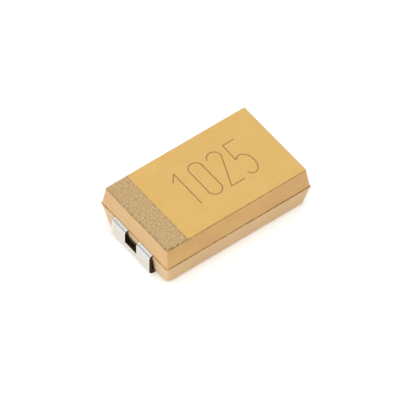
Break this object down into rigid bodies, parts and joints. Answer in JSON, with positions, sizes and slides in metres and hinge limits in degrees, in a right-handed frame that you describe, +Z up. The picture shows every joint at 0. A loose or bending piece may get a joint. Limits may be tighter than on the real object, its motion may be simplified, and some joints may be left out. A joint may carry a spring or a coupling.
{
  "type": "moulded chip tantalum capacitor",
  "caption": "Low-profile moulded chip tantalum capacitor: drafted epoxy case over a wired, coated pellet, with a forked anode terminal and a plain cathode terminal folded under as solder pads.",
  "frame": {"origin": "middle of the solder plane, under the centre of the case", "axes": "+X along the length from the anode end to the cathode end, +Y across the width, +Z up from the solder plane"},
  "size_m": [0.0074, 0.0044, 0.002],
  "materials": {
    "moulded_epoxy": "fine matt moulded epoxy, gold-tan",
    "tinned_strip": "matt tin plating with darker sheared edges",
    "sintered_tantalum": "dark porous sintered metal",
    "tantalum_wire": "drawn wire, blue-grey",
    "ptfe": "waxy white",
    "manganese_dioxide": "matt black-brown",
    "graphite": "satin grey-black carbon layer",
    "silver_paint": "matt silver paint",
    "silver_adhesive": "matt silver-filled adhesive",
    "polarity_mark": "mottled grey-brown marked field"
  },
  "bodies": {
    "root": {"case": "moulded_epoxy", "anode_terminal": "tinned_strip", "cathode_terminal": "tinned_strip", "anode_pellet": "sintered_tantalum", "tantalum_wire": "tantalum_wire", "ptfe_washer": "ptfe", "manganese_dioxide_coat": "manganese_dioxide", "graphite_coat": "graphite", "silver_coat": "silver_paint", "silver_adhesive": "silver_adhesive", "polarity_band": "polarity_mark"}
  },
  "joints": []
}
